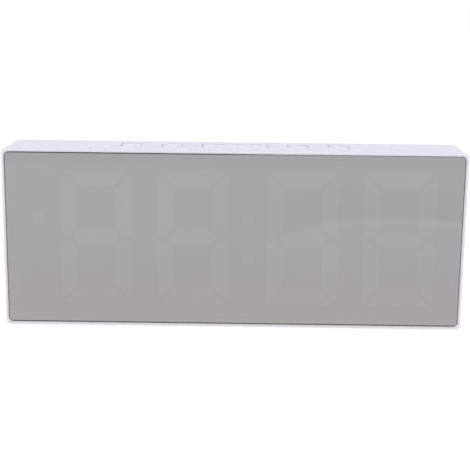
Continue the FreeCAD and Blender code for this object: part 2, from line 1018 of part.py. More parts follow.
def make_cradles():
    """Curved ribs on the bay's floor, between the cells and along its sides."""
    ribs = []
    seat_radius = cell_diameter / 2 + cell_floor_gap
    low_x = bay_centre_x - bay_length
    high_x = bay_centre_x + bay_length
    cells = [rod_x(seat_radius, cell_y, z, low_x, high_x) for z, side in cell_rows()]
    for share in cradle_shares:
        x = bay_centre_x + share * cell_length
        rib = block(
            x - cradle_width / 2,
            x + cradle_width / 2,
            bay_floor_y - bay_floor / 2,
            bay_floor_y + cradle_height,
            centre_z - bay_height / 2 - bay_wall / 2,
            centre_z + bay_height / 2 + bay_wall / 2,
        )
        ribs.append(rib.cut(Part.makeCompound(cells)))
    return ribs


def sound_holes():
    """One hole in the middle and a ring round it, over the sounder."""
    x0 = sounder_x
    z0 = centre_z - sounder_below_centre
    holes = [(x0, z0)]
    for k in range(sound_hole_count):
        turn = 2 * math.pi * k / sound_hole_count
        holes.append((x0 + sound_hole_ring * math.cos(turn), z0 + sound_hole_ring * math.sin(turn)))
    return holes


def make_cells():
    """Three AAA cells, turned end for end in turn."""
    cells = []
    for z, side in cell_rows():
        plus_x = bay_centre_x + side * (bay_length / 2 - contact_thickness)
        shoulder = plus_x - side * cell_nub_height
        minus_x = plus_x - side * cell_length
        can = rod_x(cell_diameter / 2, cell_y, z, min(minus_x, shoulder), max(minus_x, shoulder))
        can = can.makeChamfer(cell_edge, edges_on_plane(can, 0, minus_x))
        can = can.makeChamfer(cell_edge, edges_on_plane(can, 0, shoulder))
        nub = rod_x(cell_nub_radius, cell_y, z, min(shoulder, plus_x), max(shoulder, plus_x))
        cells.append(can.fuse(nub).removeSplitter())
    return cells


def leaf(z, wall_x, side):
    """A bent leaf that springs from the end wall to a cell's flat end. side points at the wall."""
    t = contact_thickness
    half = contact_height / 2
    foot = contact_height * leaf_foot_share
    crown = contact_height * leaf_crown_share
    outline = [
        (-half, 0),
        (-half + foot, 0),
        (-crown, leaf_reach - t),
        (crown, leaf_reach - t),
        (half - foot, 0),
        (half, 0),
    ]
    plate_x = wall_x - side * t
    outer = [(plate_x - side * out, cell_y + along) for along, out in outline]
    inner = [(plate_x - side * (out + t), cell_y + along) for along, out in outline]
    closed = outer + inner[::-1]
    return prism_z(closed, z - leaf_width / 2, z + leaf_width / 2)


def tail_y():
    """The depth of the contact tails that reach through the bay's end walls."""
    return door_inner_y - tail_from_door


def tail_places():
    """The two ends of the battery: X of the wall's inner face, height, and side."""
    rows = cell_rows()
    top_z, top_side = rows[-1]
    low_z, low_side = rows[0]
    return [
        (bay_centre_x + top_side * bay_length / 2, top_z, top_side),
        (bay_centre_x - low_side * bay_length / 2, low_z, -low_side),
    ]


def make_contacts():
    """Nickel strips on the bay's end walls: each ties a plus end to the next cell's minus end."""
    rows = cell_rows()
    strips = []
    tails = tail_places()
    for side in (-1, 1):
        wall_x = bay_centre_x + side * bay_length / 2
        groups = []
        if side == rows[0][1]:
            groups = [rows[k : k + 2] for k in range(0, len(rows), 2)]
        else:
            groups = [rows[:1]] + [rows[k : k + 2] for k in range(1, len(rows), 2)]
        for group in groups:
            low = group[0][0] - contact_width / 2
            high = group[-1][0] + contact_width / 2
            inner_x = wall_x - side * contact_thickness
            pieces = [
                block(
                    min(wall_x, inner_x),
                    max(wall_x, inner_x),
                    cell_y - contact_height / 2,
                    cell_y + contact_height / 2,
                    low,
                    high,
                )
            ]
            for z, plus_side in group:
                if plus_side != side:
                    pieces.append(leaf(z, wall_x, side))
                for tail_x, tail_z, tail_side in tails:
                    if tail_side == side and abs(tail_z - z) < contact_thickness:
                        end_x = wall_x + side * (bay_wall + tail_length)
                        pieces.append(
                            block(
                                min(inner_x, end_x),
                                max(inner_x, end_x),
                                tail_y() - contact_thickness / 2,
                                tail_y() + contact_thickness / 2,
                                z - tail_width / 2,
                                z + tail_width / 2,
                            )
                        )
            strips.append(joined(pieces) if len(pieces) > 1 else pieces[0])
    return Part.makeCompound(strips)


def make_leads():
    """Two short leads, straight down from the contact tails to the board, by polarity."""
    leads = {}
    for name, (wall_x, z, side) in zip(("battery_lead_plus", "battery_lead_minus"), tail_places()):
        x = wall_x + side * (bay_wall + tail_length / 2)
        leads[name] = rod_y(lead_radius, x, z, board_back_y, tail_y() - contact_thickness / 2)
    return leads


def make_battery_door():
    """The door plate with hinge tabs at its lower edge, a latch tongue at its upper edge and grip ribs."""
    width = door_opening_length - 2 * door_gap
    height = door_opening_height - 2 * door_gap
    door = plate(width, height, door_corner_radius, door_inner_y, door_back_y, bay_centre_x)
    grooves = []
    for k in range(door_rib_count):
        z = door_top_z - door_rib_from_top - k * door_rib_pitch
        grooves.append(
            block(
                bay_centre_x - door_rib_length / 2,
                bay_centre_x + door_rib_length / 2,
                door_back_y - door_rib_depth,
                door_back_y + overrun,
                z - door_rib_width / 2,
                z + door_rib_width / 2,
            )
        )
    door = door.cut(Part.makeCompound(grooves))

    pieces = [door]
    hook_top_y = cover_inner_y - door_tab_clearance
    hook_low_y = hook_top_y - door_tab_thickness
    leg_low_z = door_hinge_z + door_gap
    for x in tab_places():
        leg = (x - door_tab_width / 2, x + door_tab_width / 2)
        leg_high_z = leg_low_z + door_tab_leg
        pieces.append(block(*leg, hook_low_y, door_inner_y, leg_low_z, leg_high_z))
        pieces.append(block(*leg, hook_low_y, hook_top_y, door_hinge_z - door_tab_reach, leg_high_z))
    pieces.append(make_latch_tongue())
    return joined(pieces)


def make_latch_tongue():
    """A U-shaped tongue: in from the door's upper edge, round, and back out to a thumb pad."""
    t = latch_thickness
    outline = [
        (door_inner_y, door_top_z - t),
        (latch_deep_y, door_top_z - t),
        (latch_deep_y, latch_top_z),
        (door_back_y, latch_top_z),
        (door_back_y, latch_top_z - t - latch_pad),
        (door_back_y - t, latch_top_z - t - latch_pad),
        (door_back_y - t, latch_top_z - t),
        (latch_deep_y + t, latch_top_z - t),
        (latch_deep_y + t, door_top_z),
        (door_inner_y, door_top_z),
    ]
    return prism_x(outline, bay_centre_x - latch_width / 2, bay_centre_x + latch_width / 2)


def make_key(x, length):
    """One key cap: crowned top, a flange that stops under the housing's top wall, and a stem."""
    crest_z = housing_top_z - key_sink
    crown_radius = (key_depth**2 / 4 + key_crown**2) / (2 * key_crown)
    cap = pad(length, key_depth, key_corner_radius, flange_bottom_z, crest_z, x, key_y)
    cap = cap.makeChamfer(key_edge, edges_on_plane(cap, 2, crest_z))
    cap = cap.common(rod_x(crown_radius, key_y, crest_z - crown_radius, x - length, x + length))
    flange = pad(
        length + 2 * key_flange,
        key_depth + 2 * key_flange,
        key_corner_radius + key_flange,
        flange_bottom_z,
        inner_top_z,
        x,
        key_y,
    )
    stem = block(
        x - key_stem_width / 2,
        x + key_stem_width / 2,
        switch_y - key_stem_depth / 2,
        switch_y + key_stem_depth / 2,
        plunger_top_z,
        flange_bottom_z,
    )
    return joined([cap, flange, stem])


def make_switch(x):
    """A side-push tact switch body with the pocket that its plunger slides in."""
    body = block(
        x - switch_width / 2,
        x + switch_width / 2,
        board_back_y,
        board_back_y + switch_depth,
        switch_top_z - switch_height,
        switch_top_z,
    )
    pocket = block(
        x - plunger_width / 2 - plunger_clearance,
        x + plunger_width / 2 + plunger_clearance,
        switch_y - plunger_depth / 2 - plunger_clearance,
        switch_y + plunger_depth / 2 + plunger_clearance,
        switch_top_z - plunger_inside - key_travel - plunger_floor_gap,
        switch_top_z + overrun,
    )
    return body.cut(pocket)


def make_plunger(x):
    """The plunger of one tact switch, touching the key's stem."""
    return block(
        x - plunger_width / 2,
        x + plunger_width / 2,
        switch_y - plunger_depth / 2,
        switch_y + plunger_depth / 2,
        switch_top_z - plunger_inside,
        plunger_top_z,
    )


def make_jack():
    """The power jack: a block on the board and a round nose in the cover's hole, with its bore."""
    z = centre_z - jack_below_centre
    block_back_y = cover_inner_y - jack_block_gap
    nose_y = cover_back_y - jack_sink
    body = block(
        jack_x - jack_width / 2,
        jack_x + jack_width / 2,
        board_back_y,
        block_back_y,
        z - jack_height / 2,
        z + jack_height / 2,
    )
    body = body.fuse(rod_y(jack_nose_radius, jack_x, z, block_back_y, nose_y))
    return body.cut(rod_y(jack_bore_radius, jack_x, z, nose_y - jack_bore_depth, nose_y + overrun))


def make_jack_pin():
    """The centre pin, standing on the floor of the jack's bore."""
    z = centre_z - jack_below_centre
    floor_y = cover_back_y - jack_sink - jack_bore_depth
    return rod_y(jack_pin_radius, jack_x, z, floor_y, floor_y + jack_pin_length)


def make_sounder():
    """A round sounder standing on the board, with its port facing the cover's sound holes."""
    z = centre_z - sounder_below_centre
    top_y = board_back_y + sounder_height
    can = rod_y(sounder_radius, sounder_x, z, board_back_y, top_y)
    return can.cut(rod_y(sounder_port_radius, sounder_x, z, top_y - sounder_port_depth, top_y + overrun))


def make_chip():
    """The driver chip's moulded body."""
    z = centre_z + chip_above_centre
    low = board_back_y + chip_standoff
    return block(
        chip_x - chip_length / 2,
        chip_x + chip_length / 2,
        low,
        low + chip_height,
        z - chip_width / 2,
        z + chip_width / 2,
    )


def make_chip_leads():
    """Gull-wing leads along both long sides of the driver chip."""
    leads = []
    t = chip_lead_thickness
    knee_y = board_back_y + chip_standoff + chip_height * chip_lead_knee_share
    for side in (-1, 1):
        edge = chip_width / 2
        bend = chip_width / 2 + chip_lead_reach - chip_lead_foot
        toe = chip_width / 2 + chip_lead_reach
        shape = [
            (knee_y + t, edge),
            (knee_y + t, bend),
            (board_back_y + t, bend),
            (board_back_y + t, toe),
            (board_back_y, toe),
            (board_back_y, bend - t),
            (knee_y, bend - t),
            (knee_y, edge),
        ]
        outline = [(y, centre_z + chip_above_centre + side * out) for y, out in shape]
        for k in range(chip_leads_per_side):
            x = chip_x + (k - (chip_leads_per_side - 1) / 2) * chip_lead_pitch
            leads.append(prism_x(outline, x - chip_lead_width / 2, x + chip_lead_width / 2))
    return Part.makeCompound(leads)


def make_capacitor():
    """A can capacitor standing on the board."""
    z = centre_z + capacitor_above_centre
    top_y = board_back_y + capacitor_height
    can = rod_y(capacitor_radius, capacitor_x, z, board_back_y, top_y)
    return can.makeChamfer(capacitor_edge, edges_on_plane(can, 1, top_y))


def make_crystal():
    """A watch crystal lying on the board."""
    z = centre_z + crystal_above_centre
    return Part.makeCylinder(
        crystal_radius,
        crystal_length,
        point(crystal_x, board_back_y + crystal_radius, z - crystal_length / 2),
        point(0, 0, 1),
    )


def row_of_blocks(count, middle_x, pitch, z, length, width, height):
    """Small rectangular parts in a row on the board's back."""
    parts = []
    for k in range(count):
        x = middle_x + (k - (count - 1) / 2) * pitch
        parts.append(
            block(
                x - length / 2,
                x + length / 2,
                board_back_y,
                board_back_y + height,
                z - width / 2,
                z + width / 2,
            )
        )
    return Part.makeCompound(parts)


def main():
    """Builds every node and writes it."""
    os.makedirs("parts", exist_ok=True)
    save("housing", make_housing())
    save("mirror_lens", make_lens())
    save("lens_tape", make_tape())
    save("display_mask", make_mask())
    save("display_reflector", make_reflector())
    for name, inserts in make_inserts().items():
        save(name, Part.makeCompound(inserts))
    save("led_chips", make_leds())
    save("main_board", make_board())
    save("board_screws", make_board_screws())
    save("driver_chip", make_chip())
    save("driver_chip_leads", make_chip_leads())
    save("capacitor", make_capacitor())
    save("clock_crystal", make_crystal())
    save(
        "digit_transistors",
        row_of_blocks(
            transistor_count,
            chip_x - transistor_from_chip,
            transistor_pitch,
            centre_z - transistor_below_centre,
            transistor_length,
            transistor_width,
            transistor_height,
        ),
    )
    save(
        "segment_resistors",
        row_of_blocks(
            resistor_count,
            chip_x,
            resistor_pitch,
            centre_z + resistor_above_centre,
            resistor_length,
            resistor_width,
            resistor_height,
        ),
    )
    save("sounder", make_sounder())
    save("power_jack", make_jack())
    save("power_jack_pin", make_jack_pin())
    for name, x, length in KEYS:
        save(f"key_{name}", make_key(x, length))
        save(f"switch_{name}", make_switch(x))
        save(f"plunger_{name}", make_plunger(x))
    save("rear_cover", make_rear_cover())
    save("cover_screws", make_cover_screws())
    save("battery_door", make_battery_door())
    for number, cell in enumerate(make_cells(), start=1):
        save(f"battery_cell_{number}", cell)
    save("battery_contacts", make_contacts())
    for name, lead in make_leads().items():
        save(name, lead)
    names = ("front_left", "front_right", "rear_left", "rear_right")
    for name, (x, y) in zip(names, foot_places()):
        save(f"foot_{name}", make_foot(x, y))
    print(f"housing {housing_width:.2f} x {housing_depth:.2f} x {housing_height:.2f} mm")


main()
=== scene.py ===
"""Digital LED desk clock with a half-mirror front: finishes, raised marks and the studio."""

from __future__ import annotations

import json
import logging
import math
from dataclasses import dataclass, field
from enum import Enum
from typing import Protocol

import bmesh
import bpy
from mathutils import Matrix, Vector

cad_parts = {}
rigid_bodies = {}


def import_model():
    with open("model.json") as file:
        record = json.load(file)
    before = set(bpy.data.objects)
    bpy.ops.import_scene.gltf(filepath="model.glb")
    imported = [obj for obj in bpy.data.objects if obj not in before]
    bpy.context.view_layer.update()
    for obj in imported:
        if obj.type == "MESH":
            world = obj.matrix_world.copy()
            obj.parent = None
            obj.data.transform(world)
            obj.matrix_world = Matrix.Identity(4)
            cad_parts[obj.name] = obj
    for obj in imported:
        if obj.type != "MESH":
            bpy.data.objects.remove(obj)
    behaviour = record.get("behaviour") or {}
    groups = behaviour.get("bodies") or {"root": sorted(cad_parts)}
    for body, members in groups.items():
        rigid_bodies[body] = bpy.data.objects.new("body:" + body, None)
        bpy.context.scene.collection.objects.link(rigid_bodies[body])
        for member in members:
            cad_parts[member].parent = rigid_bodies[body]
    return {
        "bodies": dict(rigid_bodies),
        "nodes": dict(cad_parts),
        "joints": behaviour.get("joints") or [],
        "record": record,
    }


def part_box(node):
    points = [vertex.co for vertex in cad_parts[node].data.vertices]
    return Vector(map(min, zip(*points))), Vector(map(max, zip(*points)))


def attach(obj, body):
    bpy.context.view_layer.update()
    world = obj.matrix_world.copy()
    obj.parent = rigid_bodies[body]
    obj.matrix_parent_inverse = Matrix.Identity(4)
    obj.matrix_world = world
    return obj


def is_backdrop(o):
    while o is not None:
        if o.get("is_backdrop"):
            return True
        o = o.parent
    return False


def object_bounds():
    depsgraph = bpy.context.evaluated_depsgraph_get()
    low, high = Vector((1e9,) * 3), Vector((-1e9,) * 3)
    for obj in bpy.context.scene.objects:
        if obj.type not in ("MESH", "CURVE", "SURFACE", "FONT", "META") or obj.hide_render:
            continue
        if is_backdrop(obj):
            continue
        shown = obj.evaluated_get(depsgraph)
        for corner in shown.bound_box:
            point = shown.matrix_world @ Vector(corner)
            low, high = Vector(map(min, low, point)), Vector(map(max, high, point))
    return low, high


LOG = logging.getLogger("desk_clock")
MM = 0.001

Socket = bpy.types.NodeSocket
Tree = bpy.types.NodeTree
Material = bpy.types.Material
Colour = tuple[float, float, float]
Point = tuple[float, float, float]
Range = tuple[float, float]

EVEN: Point = (1.0, 1.0, 1.0)
WHITE: Colour = (1.0, 1.0, 1.0)
PATTERN_RANGE: Range = (0.3, 0.7)  # where most of a noise's values lie
BEYOND = 1.0  # a place past every face of the clock, in metres
UNIT_HALF = 0.5  # half the side or width of a shape of unit size
ROUND_PROFILE = 0.5  # a bevel with this profile is a circle's arc
ARROW_CORNERS = 3
RIGHT_ANGLE_DEG = 90


class Slot(Enum):
    """The record's material slots."""

    WHITE_PLASTIC = "white_plastic"
    KEY_PLASTIC = "key_plastic"
    COVER_PLASTIC = "cover_plastic"
    HALF_MIRROR = "half_mirror"
    BLACK_TAPE = "black_tape"
    DARK_FILM = "dark_film"
    REFLECTOR = "reflector_white"
    LIGHT_INSERT = "light_insert"
    LED_BODY = "led_body"
    CIRCUIT_BOARD = "circuit_board"
    SCREW_STEEL = "screw_steel"
    BLACK_RESIN = "black_resin"
    TINNED_METAL = "tinned_metal"
    CAPACITOR_CAN = "capacitor_can"
    BLACK_PLASTIC = "black_plastic"
    PLUNGER_PLASTIC = "plunger_plastic"
    NICKEL = "nickel_contact"
    RED_LEAD = "red_lead"
    BLACK_LEAD = "black_lead"
    FOOT_RUBBER = "foot_rubber"


class Body(Enum):
    """The bodies that new pieces ride on."""

    CLOCK = "clock"
    DOOR = "door"


class Pattern(Enum):
    """The kinds of surface pattern that a finish is made of."""

    NOISE = "ShaderNodeTexNoise"
    CELLS = "ShaderNodeTexVoronoi"


class Sum(Enum):
    """The sums that a node does on two values."""

    ADD = "ADD"
    SUBTRACT = "SUBTRACT"
    MULTIPLY = "MULTIPLY"
    ABOVE = "GREATER_THAN"
    BELOW = "LESS_THAN"
    LARGER = "MAXIMUM"


class Axis(Enum):
    """The axes of the clock: across, from front to back, and up."""

    ACROSS = "X"
    BACK = "Y"
    UP = "Z"


class Nodes:
    """Short calls that add nodes to a material's tree."""

    def __init__(self, tree: Tree) -> None:
        """Takes an emptied tree.

        Args:
            tree: the tree that the nodes go into.
        """
        self.tree = tree
        self.places: bpy.types.Node = tree.nodes.new("ShaderNodeTexCoord")

    def pattern(
        self, kind: Pattern, size: float, detail: float = 2.0, stretch: Point = EVEN
    ) -> Socket:
        """Adds a pattern that reads the object's own coordinates.

        Args:
            kind: which pattern.
            size: how far apart its features lie, in metres.
            detail: how many finer layers a noise has.
            stretch: how much denser it is along each axis.

        Returns:
            The pattern's height, about 0 to 1.
        """
        mapping = self.tree.nodes.new("ShaderNodeMapping")
        mapping.inputs["Scale"].default_value = stretch
        self.tree.links.new(self.places.outputs["Object"], mapping.inputs["Vector"])
        node = self.tree.nodes.new(kind.value)
        node.inputs["Scale"].default_value = 1 / size
        node.inputs["Detail"].default_value = detail
        self.tree.links.new(mapping.outputs["Vector"], node.inputs["Vector"])
        return node.outputs["Distance" if kind is Pattern.CELLS else "Fac"]

    def remap(self, source: Socket, start: float, end: float, low: float, high: float) -> Socket:
        """Maps a value's range to another one, and holds it there outside.

        Args:
            source: the value.
            start: the value that becomes low.
            end: the value that becomes high.
            low: the result at the start.
            high: the result at the end.

        Returns:
            The mapped value.
        """
        node = self.tree.nodes.new("ShaderNodeMapRange")
        ends = {"From Min": start, "From Max": end, "To Min": low, "To Max": high}
        for socket, number in ends.items():
            node.inputs[socket].default_value = number
        self.tree.links.new(source, node.inputs["Value"])
        return node.outputs["Result"]

    def spread(self, source: Socket, low: float, high: float) -> Socket:
        """Maps a pattern's middle range to the range from low to high."""
        return self.remap(source, *PATTERN_RANGE, low, high)

    def math(self, kind: Sum, first: Socket, second: Socket | float) -> Socket:
        """Adds one sum on an output and a second output or a number.

        Args:
            kind: which sum.
            first: the first value.
            second: the second value, an output or a number.

        Returns:
            The result.
        """
        node = self.tree.nodes.new("ShaderNodeMath")
        node.operation = kind.value
        self.tree.links.new(first, node.inputs[0])
        if isinstance(second, Socket):
            self.tree.links.new(second, node.inputs[1])
        else:
            node.inputs[1].default_value = second
        return node.outputs["Value"]

    def along(self, axis: Axis) -> Socket:
        """The place along an axis of the clock, in metres.

        Args:
            axis: which axis.

        Returns:
            The place.
        """
        split = self.tree.nodes.new("ShaderNodeSeparateXYZ")
        self.tree.links.new(self.places.outputs["Object"], split.inputs["Vector"])
        return split.outputs[axis.value]

    def away_from(self, place: Point) -> Socket:
        """The distance from a place, in metres.

        Args:
            place: the place, in metres.

        Returns:
            The distance.
        """
        node = self.tree.nodes.new("ShaderNodeVectorMath")
        node.operation = "DISTANCE"
        self.tree.links.new(self.places.outputs["Object"], node.inputs[0])
        node.inputs[1].default_value = place
        return node.outputs["Value"]

    def between(self, axis: Axis, low: float, high: float) -> Socket:
        """A mask that is 1 between two planes across an axis, and 0 outside them.

        Args:
            axis: the axis that the planes stand across.
            low: the first plane's place, in metres.
            high: the second plane's place, in metres.

        Returns:
            The mask.
        """
        place = self.along(axis)
        over = self.math(Sum.ABOVE, place, low)
        under = self.math(Sum.BELOW, place, high)
        return self.math(Sum.MULTIPLY, over, under)

    def rest_of(self, share: Socket) -> Socket:
        """What a share leaves of 1."""
        return self.math(Sum.ADD, self.math(Sum.MULTIPLY, share, -1.0), 1.0)

    def mix(self, share: Socket, first: Colour | Socket, second: Colour | Socket) -> Socket:
        """Mixes two colours, each a plain one or an output.

        Args:
            share: how much of the second colour shows.
            first: the first colour.
            second: the second colour.

        Returns:
            The mixed colour.
        """
        node = self.tree.nodes.new("ShaderNodeMix")
        node.data_type = "RGBA"
        self.tree.links.new(share, node.inputs["Factor"])
        sockets = [socket for socket in node.inputs if socket.type == "RGBA"]
        for socket, colour in zip(sockets, (first, second)):
            if isinstance(colour, Socket):
                self.tree.links.new(colour, socket)
            else:
                socket.default_value = (*colour, 1)
        return next(socket for socket in node.outputs if socket.type == "RGBA")


class Graph(Nodes):
    """A material with one Principled shader, and short calls that feed it."""

    def __init__(self, name: str) -> None:
        """Starts the material.

        Args:
            name: the material's name.
        """
        self.material: Material = bpy.data.materials.new(name)
        self.material.use_nodes = True
        self.material.node_tree.nodes.clear()
        super().__init__(self.material.node_tree)
        output = self.tree.nodes.new("ShaderNodeOutputMaterial")
        self.shader: bpy.types.Node = self.tree.nodes.new("ShaderNodeBsdfPrincipled")
        self.tree.links.new(self.shader.outputs["BSDF"], output.inputs["Surface"])

    def set(self, **values: float | Point) -> None:
        """Sets the shader's own sockets: an underscore in a key stands for a space."""
        for key, value in values.items():
            self.shader.inputs[key.replace("_", " ")].default_value = value

    def scatter(self, share: float, reach: float) -> None:
        """Lets a share of the light scatter under the surface, as far as the reach in metres."""
        self.set(Subsurface_Weight=share, Subsurface_Radius=EVEN, Subsurface_Scale=reach)

    def feed(self, socket: str, source: Socket) -> None:
        """Feeds one of the shader's sockets from an output."""
        self.tree.links.new(source, self.shader.inputs[socket])

    def tint(self, height: Socket, first: Colour, second: Colour) -> Socket:
        """Mixes two colours by a pattern."""
        return self.mix(self.spread(height, 0, 1), first, second)

    def mottle(self, height: Socket, colour: Colour, dark_share: float) -> None:
        """Feeds the colour, which a pattern darkens to a share of it."""
        self.feed("Base Color", self.tint(height, shade(colour, dark_share), colour))

    def sheen(self, height: Socket, roughness: float, spread: float) -> None:
        """Lets a pattern vary the roughness, by the spread either way."""
        self.feed("Roughness", self.spread(height, roughness - spread, roughness + spread))

    def relief(self, height: Socket, depth: float) -> None:
        """Adds a bump of a pattern.

        Args:
            height: the pattern.
            depth: how deep its relief is, in metres.
        """
        node = self.tree.nodes.new("ShaderNodeBump")
        node.inputs["Distance"].default_value = depth
        self.tree.links.new(height, node.inputs["Height"])
        self.feed("Normal", node.outputs["Normal"])


def shade(colour: Colour, share: float) -> Colour:
    """A colour scaled by a share."""
    red, green, blue = colour
    return (red * share, green * share, blue * share)


class Finish(Protocol):
    """A finish, which can build its material."""

    def material(self, name: str) -> Material:
        """Builds the material under that name."""


@dataclass(frozen=True)
class MouldedPlastic:
    """Injection-moulded plastic: a fine spark-eroded grain, slight mottling and an uneven sheen."""

    colour: Colour
    roughness: float = 0.35
    ior: float = 1.49
    mottle: float = 0.015
    mottle_size: float = 18 * MM
    sheen_spread: float = 0.05
    sheen_size: float = 6 * MM
    grain_size: float = 0.25 * MM
    grain_depth: float = 0.004 * MM
    grain_detail: float = 3.0
    scatter: float = 0.0
    scatter_reach: float = 2 * MM

    def material(self, name: str) -> Material:
        """Builds the material under that name.

        Args:
            name: the material's name.

        Returns:
            The material.
        """
        graph = Graph(name)
        graph.set(IOR=self.ior)
        graph.scatter(self.scatter, self.scatter_reach)
        cloud = graph.pattern(Pattern.NOISE, self.mottle_size)
        graph.mottle(cloud, self.colour, 1 - self.mottle)
        grain = graph.pattern(Pattern.NOISE, self.grain_size, self.grain_detail)
        graph.relief(grain, self.grain_depth)
        gloss = graph.pattern(Pattern.NOISE, self.sheen_size)
        graph.sheen(gloss, self.roughness, self.sheen_spread)
        return graph.material


@dataclass(frozen=True)
class HalfMirror:
    """The half-silvered lens: a mirror coating in front, dark edges with painted shade and a
    painted highlight, a clear back.
    """

    silver: Colour
    let_through: float = 0.11
    roughness: float = 0.03
    haze: float = 0.02
    haze_size: float = 34 * MM
    haze_share: float = 0.975
    ripple_size: float = 60 * MM
    ripple_depth: float = 0.002 * MM
    ripple_detail: float = 0.0
    skin: float = 0.12 * MM
    # the lowest strip of the front stays uncoated and dark: painted shade of the gap under the lens
    gap_shade_margin: float = 0.22 * MM
    dark_edge: Colour = (0.02, 0.02, 0.022)
    # paler colour on the right part of the upper edge: a painted highlight
    highlight_edge: Colour = (0.5, 0.49, 0.49)
    highlight_fade: Range = (-15 * MM, 20 * MM)

    def edge_tone(self, graph: Graph, top: float) -> Socket:
        """The edges' colour: dark, the lens's own edge and painted gap shade, with a painted
        highlight on the upper edge's right part.

        Args:
            graph: the material's graph.
            top: the place of the upper edge, in metres.

        Returns:
            The colour.
        """
        # painted highlight on the upper edge's right part; elsewhere dark: the lens's own edge and
        # painted gap shade
        upper = graph.between(Axis.UP, top - self.skin, BEYOND)
        right = graph.remap(graph.along(Axis.ACROSS), *self.highlight_fade, 0, 1)
        return graph.mix(graph.math(Sum.MULTIPLY, upper, right), self.dark_edge, self.highlight_edge)

    def material(self, name: str) -> Material:
        """Builds the material under that name.

        Args:
            name: the material's name.

        Returns:
            The material.
        """
        graph = Graph(name)
        low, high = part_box("mirror_lens")
        face = graph.between(Axis.BACK, -BEYOND, low.y + self.skin)
        # the top and bottom strips of the front stay uncoated and dark: painted shade of the gap
        # round the lens
        coated = graph.between(Axis.UP, low.z + self.gap_shade_margin, high.z - self.skin)
        front = graph.math(Sum.MULTIPLY, face, coated)
        back = graph.between(Axis.BACK, high.y - self.skin, BEYOND)
        haze = graph.pattern(Pattern.NOISE, self.haze_size)
        silver = graph.tint(haze, shade(self.silver, self.haze_share), self.silver)
        graph.feed("Base Color", graph.mix(front, self.edge_tone(graph, high.z), silver))
        graph.feed("Metallic", front)
        opening = graph.math(Sum.ADD, graph.math(Sum.MULTIPLY, front, self.let_through), back)
        graph.feed("Alpha", graph.rest_of(opening))
        graph.feed("Roughness", graph.spread(haze, self.roughness, self.roughness + self.haze))
        ripple = graph.pattern(Pattern.NOISE, self.ripple_size, self.ripple_detail)
        graph.relief(ripple, self.ripple_depth)
        return graph.material


@dataclass(frozen=True)
class Metal:
    """Plated or bare metal with fine drawn lines."""

    colour: Colour
    roughness: float = 0.3
    sheen_share: float = 0.2
    dark_share: float = 0.9
    cloud_size: float = 6 * MM
    line_size: float = 0.15 * MM
    line_depth: float = 0.001 * MM
    stretch: Point = (0.1, 1.0, 1.0)

    def material(self, name: str) -> Material:
        """Builds the material under that name.

        Args:
            name: the material's name.

        Returns:
            The material.
        """
        graph = Graph(name)
        graph.set(Metallic=1.0)
        cloud = graph.pattern(Pattern.NOISE, self.cloud_size)
        graph.mottle(cloud, self.colour, self.dark_share)
        lines = graph.pattern(Pattern.NOISE, self.line_size, stretch=self.stretch)
        graph.relief(lines, self.line_depth)
        graph.sheen(lines, self.roughness, self.sheen_share * self.roughness)
        return graph.material


@dataclass(frozen=True)
class Rubber:
    """Soft rubber, foam or lead insulation, with a coarse dull grain."""

    colour: Colour
    roughness: float = 0.8
    sheen_spread: float = 0.1
    gloss: float = 0.3
    dark_share: float = 0.8
    grain_size: float = 0.3 * MM
    grain_depth: float = 0.02 * MM

    def material(self, name: str) -> Material:
        """Builds the material under that name.

        Args:
            name: the material's name.

        Returns:
            The material.
        """
        graph = Graph(name)
        graph.set(Specular_IOR_Level=self.gloss)
        grain = graph.pattern(Pattern.CELLS, self.grain_size)
        graph.mottle(grain, self.colour, self.dark_share)
        graph.relief(grain, self.grain_depth)
        graph.sheen(grain, self.roughness, self.sheen_spread)
        return graph.material


@dataclass(frozen=True)
class MilkyResin:
    """Milky resin over the light chips, unlit."""

    colour: Colour
    roughness: float = 0.4
    sheen_spread: float = 0.08
    dark_share: float = 0.96
    cloud_size: float = 4 * MM
    scatter: float = 0.15
    scatter_reach: float = 1 * MM

    def material(self, name: str) -> Material:
        """Builds the material under that name.

        Args:
            name: the material's name.

        Returns:
            The material.
        """
        graph = Graph(name)
        graph.scatter(self.scatter, self.scatter_reach)
        cloud = graph.pattern(Pattern.NOISE, self.cloud_size)
        graph.mottle(cloud, self.colour, self.dark_share)
        graph.sheen(cloud, self.roughness, self.sheen_spread)
        return graph.material


@dataclass(frozen=True)
class CircuitBoard:
    """Solder mask over copper: a glossy film that shows the tracks as a faint relief."""

    mask: Colour
    track: Colour
    roughness: float = 0.3
    ior: float = 1.55
    sheen_spread: float = 0.06
    sheen_size: float = 9.6 * MM
    track_size: float = 2.4 * MM
    track_depth: float = 0.03 * MM
    track_stretch: Point = (0.4, 1.0, 1.0)

    def material(self, name: str) -> Material:
        """Builds the material under that name.

        Args:
            name: the material's name.

        Returns:
            The material.
        """
        graph = Graph(name)
        graph.set(IOR=self.ior)
        tracks = graph.pattern(Pattern.CELLS, self.track_size, stretch=self.track_stretch)
        graph.feed("Base Color", graph.tint(tracks, self.mask, self.track))
        graph.relief(tracks, self.track_depth)
        gloss = graph.pattern(Pattern.NOISE, self.sheen_size)
        graph.sheen(gloss, self.roughness, self.sheen_spread)
        return graph.material


